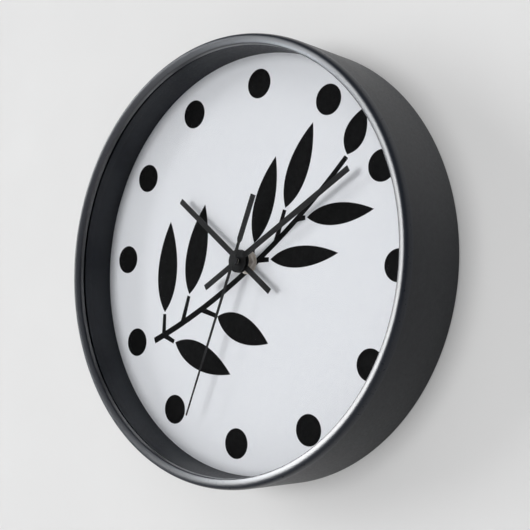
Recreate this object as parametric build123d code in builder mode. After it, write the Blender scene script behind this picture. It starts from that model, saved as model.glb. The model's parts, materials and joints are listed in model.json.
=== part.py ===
from build123d import *
import os
from math import acos, cos, pi, radians, sin, tan

# Round quartz wall clock: a deep drum case with a bullnose front edge, a recessed
# printed dial, three bar hands and a battery movement with its whole gear train.
# The origin is the centre of the hanger's hole, in the plane of the wall.
# +Y points into the wall, +Z up, and the dial faces -Y.
# Every height below is measured forward from the wall, along -Y.

# ---- Driving dimensions (mm) ----
CASE_DIAMETER = 254.0
CASE_DEPTH = 47.6
CASE_WALL = 4.0
LIP_WIDTH = 6.3
BEAD_RISE = 4.3
SHOULDER_WIDTH = 2.2
BEVEL_WIDTH = 3.3
BEVEL_DROP = 0.8
BEVEL_SLOPE = 0.4
LIP_ROUND = 1.2
LIP_TO_CRYSTAL = 3.8
REAR_CHAMFER = 0.8
HOOK_HEIGHT = 42.0
HOOK_HOLE_RADIUS = 4.0

CRYSTAL_THICKNESS = 2.0
DIAL_FACE = 21.4
DIAL_THICKNESS = 2.9
SHEET_THICKNESS = 0.1
PRINT_THICKNESS = 0.05
EDGE_GAP = 0.2
SPACER_INNER_RADIUS = 121.4

DOT_CIRCLE_RADIUS = 104.0
DOT_RADIUS = 8.7

# The hands show just after nine minutes past ten, as angles clockwise from twelve.
HOUR_ANGLE = 304.7
MINUTE_ANGLE = 56.4
SECOND_ANGLE = 198.0
HAND_WIDTH = 3.4
HAND_THICKNESS = 0.4
HAND_TAIL = 29.0
HOUR_TIP = 62.7
MINUTE_TIP = 90.3
SECOND_TIP = 95.5
SECOND_TAIL = 39.3
SECOND_ROOT_WIDTH = 2.0
SECOND_TIP_WIDTH = 0.9
COUNTERWEIGHT_START = 11.0
COUNTERWEIGHT_WIDTH = 3.7
COUNTERWEIGHT_SHOULDER = 1.6
HOUR_LEVEL = 28.0
MINUTE_LEVEL = 30.2
SECOND_LEVEL = 33.6
HOUR_HUB_RADIUS = 6.7
MINUTE_HUB_RADIUS = 6.6
SECOND_HUB_RADIUS = 3.0
HOUR_SLEEVE = 1.2
HOUR_SLEEVE_RADIUS = 3.6
MINUTE_SLEEVE = 0.9
MINUTE_SLEEVE_RADIUS = 2.6
SECOND_SLEEVE = 2.3
SECOND_SLEEVE_RADIUS = 1.5
ARBOR_ENTRY = 0.1

MOVEMENT_SIZE = 56.0
MOVEMENT_CORNER = 4.0
MOVEMENT_REAR = 0.8
MOVEMENT_FRONT = 16.8
SHELL_WALL = 1.4
FRONT_WALL = 1.5
REAR_WALL = 1.2
SHELL_JOINT = 7.5
GASKET_THICKNESS = 0.8
GASKET_RADIUS = 12.0
HANGER_THICKNESS = 0.8
HANGER_HALF_WIDTH = 14.0
HANGER_SHELF = 30.2
HANGER_TOP = 50.0
HANGER_BOTTOM = -14.0
HANGER_TOP_CORNER = 9.0
HANGER_BOTTOM_CORNER = 4.0

BUSHING_RADIUS = 4.0
BUSHING_BORE = 2.6
BUSHING_END = 26.4
BUSHING_CHAMFER = 0.3
THREAD_RELIEF = 0.4
THREAD_PITCH = 0.75
THREAD_DEPTH = 0.4
NUT_ACROSS_FLATS = 11.0
NUT_THICKNESS = 2.2
NUT_FACE_MARGIN = 0.15
WASHER_THICKNESS = 0.5
WASHER_RADIUS = 7.0

CELL_RADIUS = 7.0
CELL_LENGTH = 50.5
CELL_NUB_RADIUS = 2.7
CELL_NUB = 1.0
CELL_Z = -19.3
CELL_HEIGHT = 8.0
CELL_TIP_X = 25.9
CELL_CHAMFER = 0.5
BAY_TOP = -12.0
BAY_WALL = 1.0

# Clearances: parts that turn on one another, holes over the bushing, and arbor ends.
RUNNING = 0.06
PIPE_RUNNING = 0.08
BUSHING_CLEARANCE = 0.1
NUT_CLEARANCE = 0.05
PIVOT_RECESS = 0.1
END_SHAKE = 0.2
PLATE_GAP = 0.15
FLOOR_GAP = 0.2

# ---- Gear train: centres as (x, z) from the hands' axis, seen from the front ----
CENTRE = (0.0, 0.0)
THIRD = (-9.53, 5.5)
INTERMEDIATE = (4.5, 7.79)
ROTOR = (11.17, 11.64)
MOTION = (-8.9, -1.5)
KNOB = (-17.4, -4.6)
# Modules come from each pair's centre distance.
ROTOR_MODULE = 0.22
INTERMEDIATE_MODULE = 0.25
SECOND_MODULE = 22.0 / 85.0
THIRD_MODULE = 22.0 / 90.0
MOTION_MODULE = 0.375
HOUR_MODULE = 0.36
PRESSURE_ANGLE = radians(20)
ADDENDUM = 0.7
DEDENDUM = 0.95
BACKLASH = 0.3
# Pockets through a large web, as shares of its pitch radius.
POCKET_CIRCLE = 0.58
POCKET_SIZE = 0.2
# Each gear level's rear face.
MAGNET_LEVEL = 3.9
ROTOR_PINION_LEVEL = 6.4
SECOND_WHEEL_LEVEL = 8.0
THIRD_WHEEL_LEVEL = 9.5
MIDDLE_PLATE_LEVEL = 10.5
CENTRE_WHEEL_LEVEL = 11.5
MOTION_LEVEL = 12.7
HOUR_WHEEL_LEVEL = 14.0
THIN_WHEEL = 0.8
THICK_WHEEL = 1.0
MIDDLE_PLATE_THICKNESS = 0.7
BRIDGE_LEVEL = 2.2
BRIDGE_THICKNESS = 0.8
PIVOT_RADIUS = 0.4
ARBOR_RADIUS = 0.6
SECOND_ARBOR_RADIUS = 0.5
SECOND_HUB_CORE = 0.95
SECOND_HUB_PROUD = 0.6
CANNON_RADIUS = 1.5
CANNON_BORE = 0.6
CANNON_PROUD = 0.6
HOUR_PIPE_RADIUS = BUSHING_BORE - PIPE_RUNNING
HOUR_PIPE_PROUD = 0.7
MOTION_POST_RADIUS = 0.72
MOTION_HUB_RADIUS = 1.4
KNOB_SHAFT_RADIUS = 1.5
KNOB_RADIUS = 6.0
KNOB_REAR = 1.0
KNOB_FRONT = 3.4
KNOB_FLUTES = 24
KNOB_FLUTE_RADIUS = 0.55
KNOB_FLUTE_OFFSET = 0.35
KNOB_RIM = 1.6
KNOB_DISH = 0.4
KNOB_BOSS_RADIUS = 1.2
KNOB_PIVOT_RADIUS = 0.8
KNOB_PIVOT = 0.8
KNOB_SOCKET = 1.0
WELL_RADIUS = 6.4
WELL_FLOOR = 3.8
WELL_WALL = 1.0
POSTS = [(-24.0, 6.0), (18.0, 0.0), (-8.0, 23.0)]
POST_RADIUS = 1.6

COIL_CENTRE = (8.0, 21.5)
COIL_LENGTH = 20.0
COIL_HEIGHT = 6.6
COIL_FLANGE = 1.0
COIL_FLANGE_RADIUS = 3.4
WINDING_RADIUS = 3.0
BOBBIN_TUBE_RADIUS = 1.9
CORE_LENGTH = 28.0
CORE_WIDTH = 2.4
CORE_THICKNESS = 2.0
STATOR_THICKNESS = 1.0
STATOR_RING_RADIUS = 5.8
STATOR_BORE = 3.2
MAGNET_RADIUS = 2.6
MAGNET_THICKNESS = 2.2
BOARD_LEVEL = 5.5
BOARD_THICKNESS = 0.8
BOARD_SUPPORTS = [(-21.0, 17.5), (-15.5, 23.0)]
BOARD_SUPPORT_RADIUS = 1.5
BOARD_ACROSS = (-25.9, -11.6)
BOARD_UP = (10.4, 25.0)
CAN_START_X = -20.5
CAN_CENTRE = (0.0, 12.8)
CAN_RADIUS = 1.0
CAN_LENGTH = 6.0
CHIP_CENTRE = (-18.0, 19.6)
CHIP_RADIUS = 3.0
CHIP_HEIGHT = 1.2
CHIP_ROUND = 1.0

CONTACT_LEVELS = (3.0, 13.0)
CONTACT_UP = (-23.8, -14.8)
CONTACT_INNER_X = 26.2
CONTACT_OUTER_X = 26.6
CONTACT_DIMPLE_RADIUS = 1.6
CONTACT_DIMPLE = 0.25
SPRING_LEVEL = 5.5
SPRING_WIDTH = 5.0
SPRING_CREST_X = -24.75
SPRING_THICKNESS = 0.4
SPRING_END = 0.8

CLIP_COUNT = 6
CLIP_START = 30.0
CLIP_WIDTH = 12.0
CLIP_REACH = 8.8
CLIP_THICKNESS = 1.0
CLIP_HEIGHT = 10.0
CLIP_GAP = 0.2
SCREW_HEIGHT = 12.5
SCREW_RADIUS = 1.25
SCREW_HEAD_RADIUS = 2.3
SCREW_HEAD = 1.5
SCREW_LENGTH = 3.4
SCREW_SLOT = 0.6
SCREW_SLOT_DEPTH = 0.8
PILOT_SKIN = 1.2

# ---- Worked out from the driving dimensions ----
AXIS_Z = -HOOK_HEIGHT
CASE_RADIUS = CASE_DIAMETER / 2
REBATE_RADIUS = CASE_RADIUS - CASE_WALL
LIP_RADIUS = CASE_RADIUS - LIP_WIDTH
CREASE = CASE_DEPTH - BEAD_RISE
CRYSTAL_FRONT = CASE_DEPTH - LIP_TO_CRYSTAL
CRYSTAL_REAR = CRYSTAL_FRONT - CRYSTAL_THICKNESS
FILL_RADIUS = REBATE_RADIUS - EDGE_GAP
BOARD_FRONT = DIAL_FACE - SHEET_THICKNESS
DIAL_REAR = BOARD_FRONT - DIAL_THICKNESS
HANGER_REAR = MOVEMENT_FRONT + GASKET_THICKNESS
SHELL_INSIDE = MOVEMENT_SIZE - 2 * SHELL_WALL
INSIDE_CORNER = MOVEMENT_CORNER - SHELL_WALL
TRAIN_FRONT = MOVEMENT_FRONT - FRONT_WALL
TRAIN_REAR = MOVEMENT_REAR + REAR_WALL
BRIDGE_FRONT = BRIDGE_LEVEL + BRIDGE_THICKNESS
MIDDLE_PLATE_FRONT = MIDDLE_PLATE_LEVEL + MIDDLE_PLATE_THICKNESS
BUSHING_HOLE_RADIUS = BUSHING_RADIUS + BUSHING_CLEARANCE
NUT_BORE_RADIUS = BUSHING_RADIUS + NUT_CLEARANCE
THREAD_START = MOVEMENT_FRONT + THREAD_RELIEF
FRONT_PIVOT_END = MIDDLE_PLATE_FRONT - PIVOT_RECESS
THIRD_ARBOR_END = CENTRE_WHEEL_LEVEL + THIN_WHEEL + PLATE_GAP
WASHER_REAR = DIAL_FACE + PRINT_THICKNESS
WASHER_FRONT = WASHER_REAR + WASHER_THICKNESS
NUT_FRONT = WASHER_FRONT + NUT_THICKNESS
CLIP_OUTER = REBATE_RADIUS - CLIP_GAP
HOUR_PIPE_END = HOUR_LEVEL + HOUR_PIPE_PROUD
CANNON_END = MINUTE_LEVEL + CANNON_PROUD
CLOCK_AXIS = Axis((0, 0, AXIS_Z), (0, -1, 0))

os.makedirs("parts", exist_ok=True)


# ---- Planes ----
def front_plane(height, centre=CENTRE):
    """Faces the viewer: local x is X, local y is Z, and extruding goes forward."""
    origin = (centre[0], -height, AXIS_Z + centre[1])
    return Plane(origin=origin, x_dir=(1, 0, 0), z_dir=(0, -1, 0))


def section_plane(angle=0.0):
    """Holds the hands' axis: local x is the radius at this angle, local y the height."""
    x_dir = (cos(radians(angle)), 0, sin(radians(angle)))
    z_dir = (sin(radians(angle)), 0, -cos(radians(angle)))
    return Plane(origin=(0, 0, AXIS_Z), x_dir=x_dir, z_dir=z_dir)


def radial_plane(angle, radius, height):
    """Faces outward at this angle and radius: local y is the height."""
    out = (cos(radians(angle)), 0, sin(radians(angle)))
    along = (-sin(radians(angle)), 0, cos(radians(angle)))
    origin = (radius * out[0], -height, AXIS_Z + radius * out[2])
    return Plane(origin=origin, x_dir=along, z_dir=out)


def across_plane(x, centre, height):
    """Faces +X, for parts that lie along X inside the movement."""
    return Plane(origin=(x, -height, AXIS_Z + centre[1]), x_dir=(0, -1, 0), z_dir=(1, 0, 0))


# ---- Shapes used more than once; each adds to the part being built ----
def add_disc(rear, front, radius, bore=0.0, centre=CENTRE):
    """A round disc, tube or post between two heights."""
    with BuildSketch(front_plane(rear, centre)) as outline:
        Circle(radius)
        if bore:
            Circle(bore, mode=Mode.SUBTRACT)
    extrude(outline.sketch, amount=front - rear)


def cut_disc(rear, front, radius, centre=CENTRE):
    """A round hole between two heights."""
    with BuildSketch(front_plane(rear, centre)) as outline:
        Circle(radius)
    extrude(outline.sketch, amount=front - rear, mode=Mode.SUBTRACT)


def add_block(rear, front, x_range, z_range, mode=Mode.ADD):
    """A straight-sided block between two heights."""
    centre = (sum(x_range) / 2, sum(z_range) / 2)
    with BuildSketch(front_plane(rear, centre)) as outline:
        Rectangle(x_range[1] - x_range[0], z_range[1] - z_range[0])
    extrude(outline.sketch, amount=front - rear, mode=mode)


def half_tooth(teeth, module, radius):
    """Half of a tooth's angle at this radius, for an involute thinned by the backlash."""
    pitch_radius = teeth * module / 2
    base_radius = pitch_radius * cos(PRESSURE_ANGLE)
    roll = acos(min(1.0, base_radius / radius))
    involute = tan(PRESSURE_ANGLE) - PRESSURE_ANGLE - (tan(roll) - roll)
    return pi / 2 / teeth - BACKLASH * module / 4 / pitch_radius + involute


def gear_points(teeth, module, phase):
    """Corner points of a stub-toothed gear whose first tooth points to phase (radians)."""
    pitch_radius = teeth * module / 2
    tip_radius = pitch_radius + ADDENDUM * module
    root_radius = pitch_radius - DEDENDUM * module
    rising = (root_radius, pitch_radius, tip_radius)
    points = []
    for tooth in range(teeth):
        middle = phase + 2 * pi * tooth / teeth
        for side, radii in ((-1, rising), (1, rising[::-1])):
            for radius in radii:
                angle = middle + side * half_tooth(teeth, module, radius)
                points.append((radius * cos(angle), radius * sin(angle)))
    return points


def add_gear(rear, thickness, teeth, module, centre=CENTRE, phase=0.0, pockets=0):
    """A gear, with round pockets through its web if it is a large one."""
    with BuildSketch(front_plane(rear, centre)) as outline:
        with BuildLine():
            Polyline(*gear_points(teeth, module, phase), close=True)
        make_face()
        if pockets:
            pitch_radius = teeth * module / 2
            with PolarLocations(pitch_radius * POCKET_CIRCLE, pockets):
                Circle(pitch_radius * POCKET_SIZE, mode=Mode.SUBTRACT)
    extrude(outline.sketch, amount=thickness)


def meshed_phase(teeth, centre, driver_teeth, driver_centre, driver_phase):
    """Phase that puts a gap of this gear opposite the driver's tooth."""
    line = Vector(centre[0] - driver_centre[0], centre[1] - driver_centre[1])
    heading = radians(Vector(1, 0).get_signed_angle(line, Vector(0, 0, 1)))
    share = (driver_phase - heading) * driver_teeth / (2 * pi)
    return heading + pi + (0.5 - share) * 2 * pi / teeth


def add_blade(level, angle, width, start, end):
    """A straight bar of a hand, clockwise from twelve, between two radii."""
    middle = (start + end) / 2
    with BuildSketch(front_plane(level)) as outline:
        with Locations((middle * sin(radians(angle)), middle * cos(radians(angle)))):
            Rectangle(width, end - start, rotation=-angle)
    extrude(outline.sketch, amount=HAND_THICKNESS)


def add_plate(rear, thickness, points, holes):
    """A flat plate with a polygon outline and round holes, given as (centre, radius)."""
    with BuildSketch(front_plane(rear)) as outline:
        Polygon(*points, align=None)
        for centre, radius in holes:
            with Locations(centre):
                Circle(radius, mode=Mode.SUBTRACT)
    extrude(outline.sketch, amount=thickness)


# ---- Case, crystal and spacer ----
# The front edge rises from a crease to its crown, falls along a wide shallow bevel and
# turns over a small round into the lip that holds the crystal.
with BuildPart() as case_ring:
    crown = (CASE_RADIUS - SHOULDER_WIDTH, CASE_DEPTH)
    bevel_end = (crown[0] - BEVEL_WIDTH, CASE_DEPTH - BEVEL_DROP)
    with BuildSketch(section_plane()):
        with BuildLine():
            Polyline(
                (REBATE_RADIUS, CRYSTAL_FRONT),
                (REBATE_RADIUS, 0),
                (CASE_RADIUS - REAR_CHAMFER, 0),
                (CASE_RADIUS, REAR_CHAMFER),
                (CASE_RADIUS, CREASE),
            )
            Bezier(
                (CASE_RADIUS, CREASE),
                (CASE_RADIUS - 0.1 * SHOULDER_WIDTH, CREASE + 0.6 * BEAD_RISE),
                (CASE_RADIUS - 0.4 * SHOULDER_WIDTH, CASE_DEPTH),
                crown,
            )
            Bezier(
                crown,
                (crown[0] - 0.3 * BEVEL_WIDTH, CASE_DEPTH),
                (bevel_end[0] + 0.35 * BEVEL_WIDTH, bevel_end[1] + 0.35 * BEVEL_WIDTH * BEVEL_SLOPE),
                bevel_end,
            )
            Bezier(
                bevel_end,
                (bevel_end[0] - 0.5 * LIP_ROUND, bevel_end[1] - 0.5 * LIP_ROUND * BEVEL_SLOPE),
                (LIP_RADIUS, bevel_end[1] - 0.4 * LIP_ROUND),
                (LIP_RADIUS, bevel_end[1] - LIP_ROUND),
            )
            Line((LIP_RADIUS, bevel_end[1] - LIP_ROUND), (LIP_RADIUS, CRYSTAL_FRONT))
            Line((LIP_RADIUS, CRYSTAL_FRONT), (REBATE_RADIUS, CRYSTAL_FRONT))
        make_face()
    revolve(axis=CLOCK_AXIS)
    for clip in range(CLIP_COUNT):
        pilot = radial_plane(CLIP_START + clip * 360 / CLIP_COUNT, CLIP_OUTER, SCREW_HEIGHT)
        with BuildSketch(pilot):
            Circle(SCREW_RADIUS + RUNNING)
        extrude(amount=CLIP_GAP + CASE_WALL - PILOT_SKIN, mode=Mode.SUBTRACT)
case_ring.part.label = "case_ring"
export_step(case_ring.part, "parts/case_ring.step")

with BuildPart() as crystal:
    add_disc(CRYSTAL_REAR, CRYSTAL_FRONT, FILL_RADIUS)
crystal.part.label = "crystal"
export_step(crystal.part, "parts/crystal.step")

with BuildPart() as spacer_ring:
    add_disc(DIAL_FACE, CRYSTAL_REAR, FILL_RADIUS, SPACER_INNER_RADIUS)
spacer_ring.part.label = "spacer_ring"
export_step(spacer_ring.part, "parts/spacer_ring.step")

# ---- Dial: backing board, paper sheet and printed marks ----
with BuildPart() as dial_plate:
    add_disc(DIAL_REAR, BOARD_FRONT, FILL_RADIUS, BUSHING_HOLE_RADIUS)
dial_plate.part.label = "dial_plate"
export_step(dial_plate.part, "parts/dial_plate.step")

with BuildPart() as dial_sheet:
    add_disc(BOARD_FRONT, DIAL_FACE, FILL_RADIUS, BUSHING_HOLE_RADIUS)
dial_sheet.part.label = "dial_sheet"
export_step(dial_sheet.part, "parts/dial_sheet.step")

with BuildPart() as hour_dots:
    with BuildSketch(front_plane(DIAL_FACE)):
        with PolarLocations(DOT_CIRCLE_RADIUS, 12, start_angle=90):
            Circle(DOT_RADIUS)
    extrude(amount=PRINT_THICKNESS)
hour_dots.part.label = "hour_dots"
export_step(hour_dots.part, "parts/hour_dots.step")

# A plain leafy sprig. Its stem is an arc, and each leaf is placed by the share of
# the stem where its twig leaves, the twig's angle and length, and its own angle,
# length and width.
STEM_START = Vector(-74, -50)
STEM_MIDDLE = Vector(1, -4)
STEM_END = Vector(66, 57)
STEM_WIDTH = 3.8
STEM_TAPER = 0.2
STEM_SPANS = 16
STEM_STEP = 0.01
TWIG_WIDTH = 2.6
TWIG_FLARE = 1.3
LEAF_GAP = 1.2
# A leaf's curve, as shares of its length and width.
LEAF_NEAR = 0.22
LEAF_FAR = 0.62
LEAF_FULLNESS = 0.62
SPRIG_LEAVES = [
    (0.05, 92, 13, 90, 56, 18),
    (0.15, 76, 17, 81, 55, 18),
    (0.51, 84, 13, 76, 51, 16),
    (0.64, 74, 19, 71, 50, 16),
    (1.00, 55, 1, 68, 27, 15),
    (0.05, -20, 10, -18, 50, 17),
    (0.25, -14, 13, -18, 43, 17),
    (0.55, 2, 8, 5, 48, 13),
    (0.75, 6, 6, 5, 45, 13),
]


def stem_point(share):
    """Point on the stem's arc, by a parabola through its two ends and middle."""
    bend = STEM_MIDDLE - (STEM_START + STEM_END) / 2
    return STEM_START + (STEM_END - STEM_START) * share + bend * (4 * share * (1 - share))


def heading_vector(angle):
    """Unit vector at this angle from +X."""
    return Vector(cos(radians(angle)), sin(radians(angle)))


def leaf_outline(base, angle, length, width):
    """A pointed leaf, widest a little before its middle."""
    along = heading_vector(angle) * length
    side = heading_vector(angle + 90) * (width * LEAF_FULLNESS)
    near = base + along * LEAF_NEAR
    far = base + along * LEAF_FAR
    tip = base + along
    with BuildLine() as edge:
        Bezier(base, near + side, far + side, tip)
        Bezier(tip, far - side, near - side, base)
    make_face(edge.edges())


def strip_outline(start, end, start_width, end_width):
    """A straight tapering strip."""
    across = (end - start).normalized().rotate(Axis.Z, 90)
    with BuildLine() as edge:
        Polyline(
            start + across * (start_width / 2),
            start - across * (start_width / 2),
            end - across * (end_width / 2),
            end + across * (end_width / 2),
            close=True,
        )
    make_face(edge.edges())


with BuildPart() as leaf_sprig:
    with BuildSketch(front_plane(DIAL_FACE)):
        left_edge = []
        right_edge = []
        for span in range(STEM_SPANS + 1):
            share = span / STEM_SPANS
            ahead = stem_point(share + STEM_STEP) - stem_point(share - STEM_STEP)
            half_width = STEM_WIDTH / 2 * (1 - STEM_TAPER * share)
            across = ahead.normalized().rotate(Axis.Z, 90) * half_width
            left_edge.append(stem_point(share) + across)
            right_edge.append(stem_point(share) - across)
        with BuildLine():
            Polyline(*left_edge, *right_edge[::-1], close=True)
        make_face()
        for share, twig_angle, twig_length, leaf_angle, leaf_length, leaf_width in SPRIG_LEAVES:
            root = stem_point(share)
            twig_end = root + heading_vector(twig_angle) * twig_length
            strip_outline(root, twig_end, TWIG_WIDTH * TWIG_FLARE, TWIG_WIDTH)
            leaf_base = twig_end + heading_vector(leaf_angle) * LEAF_GAP
            leaf_outline(leaf_base, leaf_angle, leaf_length, leaf_width)
        Circle(BUSHING_HOLE_RADIUS, mode=Mode.SUBTRACT)
    extrude(amount=PRINT_THICKNESS)
leaf_sprig.part.label = "leaf_sprig"
export_step(leaf_sprig.part, "parts/leaf_sprig.step")

# ---- Six clips and screws that hold the dial against the spacer ----
with BuildPart() as dial_clips:
    for clip in range(CLIP_COUNT):
        angle = CLIP_START + clip * 360 / CLIP_COUNT
        with BuildSketch(section_plane(angle)):
            with BuildLine():
                Polyline(
                    (CLIP_OUTER, DIAL_REAR),
                    (CLIP_OUTER - CLIP_REACH, DIAL_REAR),
                    (CLIP_OUTER - CLIP_REACH, DIAL_REAR - CLIP_THICKNESS),
                    (CLIP_OUTER - CLIP_THICKNESS, DIAL_REAR - CLIP_THICKNESS),
                    (CLIP_OUTER - CLIP_THICKNESS, DIAL_REAR - CLIP_HEIGHT),
                    (CLIP_OUTER, DIAL_REAR - CLIP_HEIGHT),
                    close=True,
                )
            make_face()
        extrude(amount=CLIP_WIDTH / 2, both=True)
        with BuildSketch(radial_plane(angle, CLIP_OUTER - 2 * CLIP_THICKNESS, SCREW_HEIGHT)):
            Circle(SCREW_RADIUS + RUNNING)
        extrude(amount=3 * CLIP_THICKNESS, mode=Mode.SUBTRACT)
dial_clips.part.label = "dial_clips"
export_step(dial_clips.part, "parts/dial_clips.step")

with BuildPart() as clip_screws:
    for clip in range(CLIP_COUNT):
        angle = CLIP_START + clip * 360 / CLIP_COUNT
        seat = CLIP_OUTER - CLIP_THICKNESS
        with BuildSketch(radial_plane(angle, seat - SCREW_HEAD, SCREW_HEIGHT)):
            Circle(SCREW_HEAD_RADIUS)
        extrude(amount=SCREW_HEAD)
        with BuildSketch(radial_plane(angle, seat, SCREW_HEIGHT)):
            Circle(SCREW_RADIUS)
        extrude(amount=SCREW_LENGTH)
        with BuildSketch(radial_plane(angle, seat - SCREW_HEAD, SCREW_HEIGHT)):
            Rectangle(2 * SCREW_RADIUS, SCREW_SLOT)
            Rectangle(SCREW_SLOT, 2 * SCREW_RADIUS)
        extrude(amount=SCREW_SLOT_DEPTH, mode=Mode.SUBTRACT)
clip_screws.part.label = "clip_screws"
export_step(clip_screws.part, "parts/clip_screws.step")

# ---- Wall hanger: one bent strip from the bushing, over the movement, to the wall ----
with BuildPart() as wall_hanger:
    side_view = Plane(origin=(0, 0, AXIS_Z), x_dir=(0, -1, 0), z_dir=(-1, 0, 0))
    with BuildSketch(side_view) as strip:
        with BuildLine():
            Polyline(
                (DIAL_REAR, HANGER_BOTTOM),
                (HANGER_REAR, HANGER_BOTTOM),
                (HANGER_REAR, HANGER_SHELF),
                (0, HANGER_SHELF),
                (0, HANGER_TOP),
                (HANGER_THICKNESS, HANGER_TOP),
                (HANGER_THICKNESS, HANGER_SHELF + HANGER_THICKNESS),
                (DIAL_REAR, HANGER_SHELF + HANGER_THICKNESS),
                close=True,
            )
        make_face()
    extrude(amount=HANGER_HALF_WIDTH, both=True)
    fillet(wall_hanger.edges().filter_by(Axis.Y).group_by(Axis.Z)[-1], HANGER_TOP_CORNER)
    fillet(wall_hanger.edges().filter_by(Axis.Y).group_by(Axis.Z)[0], HANGER_BOTTOM_CORNER)
    cut_disc(0, HANGER_THICKNESS, HOOK_HOLE_RADIUS, (0, HOOK_HEIGHT))
    cut_disc(HANGER_REAR, DIAL_REAR, BUSHING_HOLE_RADIUS)
wall_hanger.part.label = "wall_hanger"
export_step(wall_hanger.part, "parts/wall_hanger.step")

with BuildPart() as shaft_gasket:
    add_disc(MOVEMENT_FRONT, HANGER_REAR, GASKET_RADIUS, BUSHING_HOLE_RADIUS)
shaft_gasket.part.label = "shaft_gasket"
export_step(shaft_gasket.part, "parts/shaft_gasket.step")

with BuildPart() as shaft_washer:
    add_disc(WASHER_REAR, WASHER_FRONT, WASHER_RADIUS, BUSHING_HOLE_RADIUS)
shaft_washer.part.label = "shaft_washer"
export_step(shaft_washer.part, "parts/shaft_washer.step")

with BuildPart() as hex_nut:
    with BuildSketch(front_plane(WASHER_FRONT)):
        RegularPolygon(NUT_ACROSS_FLATS / 2, 6, major_radius=False)
        Circle(NUT_BORE_RADIUS, mode=Mode.SUBTRACT)
    extrude(amount=NUT_THICKNESS)
    # The nut's corners are turned off at 30 degrees on both faces.
    with BuildSketch(section_plane()):
        with BuildLine():
            face_radius = NUT_ACROSS_FLATS / 2 - NUT_FACE_MARGIN
            corner = NUT_ACROSS_FLATS / 2 / cos(radians(30))
            turned = (corner - face_radius) * tan(radians(30))
            Polyline(
                (0, WASHER_FRONT),
                (face_radius, WASHER_FRONT),
                (corner, WASHER_FRONT + turned),
                (corner, NUT_FRONT - turned),
                (face_radius, NUT_FRONT),
                (0, NUT_FRONT),
                close=True,
            )
        make_face()
    revolve(axis=CLOCK_AXIS, mode=Mode.INTERSECT)
hex_nut.part.label = "hex_nut"
export_step(hex_nut.part, "parts/hex_nut.step")

# ---- Movement housing ----
with BuildPart() as movement_front_case:
    with BuildSketch(front_plane(SHELL_JOINT)):
        RectangleRounded(MOVEMENT_SIZE, MOVEMENT_SIZE, MOVEMENT_CORNER)
    extrude(amount=MOVEMENT_FRONT - SHELL_JOINT)
    with BuildSketch(front_plane(SHELL_JOINT)):
        RectangleRounded(SHELL_INSIDE, SHELL_INSIDE, INSIDE_CORNER)
    extrude(amount=TRAIN_FRONT - SHELL_JOINT, mode=Mode.SUBTRACT)
    for post in POSTS:
        add_disc(MIDDLE_PLATE_FRONT, TRAIN_FRONT, POST_RADIUS, centre=post)
    add_disc(MOTION_LEVEL - END_SHAKE, TRAIN_FRONT, MOTION_POST_RADIUS, centre=MOTION)
    cut_disc(TRAIN_FRONT, MOVEMENT_FRONT, BUSHING_RADIUS)
    cut_disc(TRAIN_FRONT, TRAIN_FRONT + KNOB_SOCKET, KNOB_PIVOT_RADIUS + RUNNING, KNOB)
movement_front_case.part.label = "movement_front_case"
export_step(movement_front_case.part, "parts/movement_front_case.step")

with BuildPart() as movement_rear_case:
    half_inside = SHELL_INSIDE / 2
    with BuildSketch(front_plane(MOVEMENT_REAR)):
        RectangleRounded(MOVEMENT_SIZE, MOVEMENT_SIZE, MOVEMENT_CORNER)
    extrude(amount=SHELL_JOINT - MOVEMENT_REAR)
    with BuildSketch(front_plane(TRAIN_REAR)):
        RectangleRounded(SHELL_INSIDE, SHELL_INSIDE, INSIDE_CORNER)
    extrude(amount=SHELL_JOINT - TRAIN_REAR, mode=Mode.SUBTRACT)
    add_block(
        MOVEMENT_REAR,
        TRAIN_REAR,
        (-half_inside, half_inside),
        (-half_inside, BAY_TOP),
        mode=Mode.SUBTRACT,
    )
    add_block(
        MOVEMENT_REAR,
        TRAIN_FRONT - FLOOR_GAP,
        (-half_inside, half_inside),
        (BAY_TOP, BAY_TOP + BAY_WALL),
    )
    add_disc(TRAIN_REAR, WELL_FLOOR + WELL_WALL, WELL_RADIUS + WELL_WALL, centre=KNOB)
    cut_disc(MOVEMENT_REAR, WELL_FLOOR, WELL_RADIUS, KNOB)
    cut_disc(WELL_FLOOR, WELL_FLOOR + WELL_WALL, KNOB_SHAFT_RADIUS + PIPE_RUNNING, KNOB)
    for support in BOARD_SUPPORTS:
        add_disc(TRAIN_REAR, BOARD_LEVEL, BOARD_SUPPORT_RADIUS, centre=support)
movement_rear_case.part.label = "movement_rear_case"
export_step(movement_rear_case.part, "parts/movement_rear_case.step")

# The bushing's thread is a stack of 60-degree rings from the washer to its end.
with BuildPart() as threaded_bushing:
    thread_points = []
    thread_count = int((BUSHING_END - THREAD_START) / THREAD_PITCH)
    for ring in range(thread_count):
        start = THREAD_START + ring * THREAD_PITCH
        thread_points.append((BUSHING_RADIUS, start))
        thread_points.append((BUSHING_RADIUS - THREAD_DEPTH, start + THREAD_PITCH / 2))
    with BuildSketch(section_plane()):
        with BuildLine():
            Polyline(
                (BUSHING_BORE, TRAIN_FRONT),
                (BUSHING_RADIUS, TRAIN_FRONT),
                *thread_points,
                (BUSHING_RADIUS, BUSHING_END - BUSHING_CHAMFER),
                (BUSHING_RADIUS - BUSHING_CHAMFER, BUSHING_END),
                (BUSHING_BORE, BUSHING_END),
                close=True,
            )
        make_face()
    revolve(axis=CLOCK_AXIS)
threaded_bushing.part.label = "threaded_bushing"
export_step(threaded_bushing.part, "parts/threaded_bushing.step")

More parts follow.
